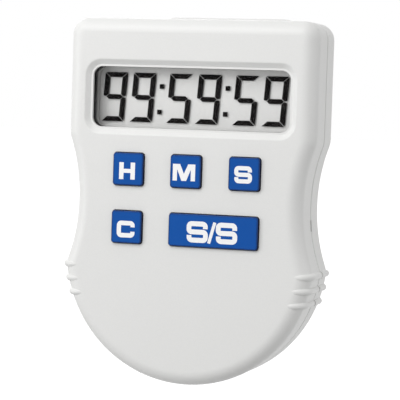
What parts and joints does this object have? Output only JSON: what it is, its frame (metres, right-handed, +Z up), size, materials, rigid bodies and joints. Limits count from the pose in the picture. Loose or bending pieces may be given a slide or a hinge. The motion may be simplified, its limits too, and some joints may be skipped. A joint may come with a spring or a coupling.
{
  "type": "lab timer",
  "caption": "Hand-held lab countdown timer: waisted two-shell housing, display window, sprung keys, sliding battery door and a sprung magnetic clip on the back.",
  "frame": {"origin": "middle of the magnet face on the back of the clip, in the plane that meets a steel board", "axes": "+Z up the housing, +Y out of the back towards the board, +X to the right seen from the front; the face looks along -Y"},
  "size_m": [0.0702, 0.0369, 0.0989],
  "materials": {
    "housing": "fine satin moulded off-white plastic",
    "window_clear": "clear polished acrylic pane",
    "frame_black": "matt black moulded plastic",
    "lcd_glass": "clear glass with polarising film",
    "lcd_reflector": "pale grey diffuse reflector film",
    "elastomer": "striped conductive elastomer",
    "board_green": "green solder mask over glass-fibre board",
    "resin_black": "black potting resin",
    "plated_steel": "bright nickel-plated steel",
    "ceramic_tan": "fired ceramic chip",
    "silicone_grey": "translucent grey silicone",
    "battery_sleeve": "plain printed battery sleeve",
    "lead_red": "red insulated wire",
    "lead_black": "black insulated wire",
    "buzzer_brass": "thin brass disc with ceramic layer",
    "foam": "closed-cell foam ring",
    "screw_steel": "zinc-plated screw",
    "spring_steel": "hardened spring wire",
    "pad_rubber": "grey grip rubber",
    "magnet_nickel": "nickel-plated disc magnet",
    "key_blue": "satin blue moulded key",
    "carbon": "carbon-loaded rubber"
  },
  "bodies": {
    "housing": {"battery": "battery_sleeve", "battery_contact_negative": "plated_steel", "battery_contact_positive": "plated_steel", "battery_lead_negative": "lead_black", "battery_lead_positive": "lead_red", "board_screws": "screw_steel", "buzzer_disc": "buzzer_brass", "buzzer_leads": "lead_black", "buzzer_ring": "foam", "capacitors": "ceramic_tan", "circuit_board": "board_green", "clip_pin": "plated_steel", "controller_chip": "resin_black", "display_window": "window_clear", "front_shell": "housing", "housing_screws": "screw_steel", "keymat": "silicone_grey", "lcd_frame": "frame_black", "lcd_panel": "lcd_glass", "lcd_reflector": "lcd_reflector", "quartz_crystal": "plated_steel", "rear_shell": "housing", "zebra_strip_lower": "elastomer", "zebra_strip_upper": "elastomer"},
    "hours_key": {"key_hours": "key_blue", "contact_pill_hours": "carbon"},
    "minutes_key": {"key_minutes": "key_blue", "contact_pill_minutes": "carbon"},
    "seconds_key": {"key_seconds": "key_blue", "contact_pill_seconds": "carbon"},
    "clear_key": {"key_clear": "key_blue", "contact_pill_clear": "carbon"},
    "start_stop_key": {"key_start_stop": "key_blue", "contact_pill_start_stop": "carbon"},
    "door": {"battery_door": "housing"},
    "clip": {"clip_lever": "housing", "clip_pad": "pad_rubber", "magnets": "magnet_nickel", "clip_spring": "spring_steel"}
  },
  "joints": [
    {"name": "hours_key_press", "type": "slide", "parent": "housing", "child": "hours_key", "axis": [0, 1, 0], "range_m": [0, 0.0007], "stiffness_N_per_m": 1500, "springref_m": -0.0004, "deforming": ["keymat"]},
    {"name": "minutes_key_press", "type": "slide", "parent": "housing", "child": "minutes_key", "axis": [0, 1, 0], "range_m": [0, 0.0007], "stiffness_N_per_m": 1500, "springref_m": -0.0004, "deforming": ["keymat"]},
    {"name": "seconds_key_press", "type": "slide", "parent": "housing", "child": "seconds_key", "axis": [0, 1, 0], "range_m": [0, 0.0007], "stiffness_N_per_m": 1500, "springref_m": -0.0004, "deforming": ["keymat"]},
    {"name": "clear_key_press", "type": "slide", "parent": "housing", "child": "clear_key", "axis": [0, 1, 0], "range_m": [0, 0.0007], "stiffness_N_per_m": 1500, "springref_m": -0.0004, "deforming": ["keymat"]},
    {"name": "start_stop_key_press", "type": "slide", "parent": "housing", "child": "start_stop_key", "axis": [0, 1, 0], "range_m": [0, 0.0007], "stiffness_N_per_m": 1500, "springref_m": -0.0004, "deforming": ["keymat"]},
    {"name": "door_slide", "type": "slide", "parent": "housing", "child": "door", "axis": [0, 0, -1], "range_m": [0, 0.04]},
    {"name": "clip_hinge", "type": "hinge", "parent": "housing", "child": "clip", "pos_m": [0, -0.00945, -0.002], "axis": [1, 0, 0], "range_deg": [0, 18], "stiffness_Nm_per_rad": 0.2, "springref_deg": -28.65, "deforming": ["clip_spring"]}
  ]
}
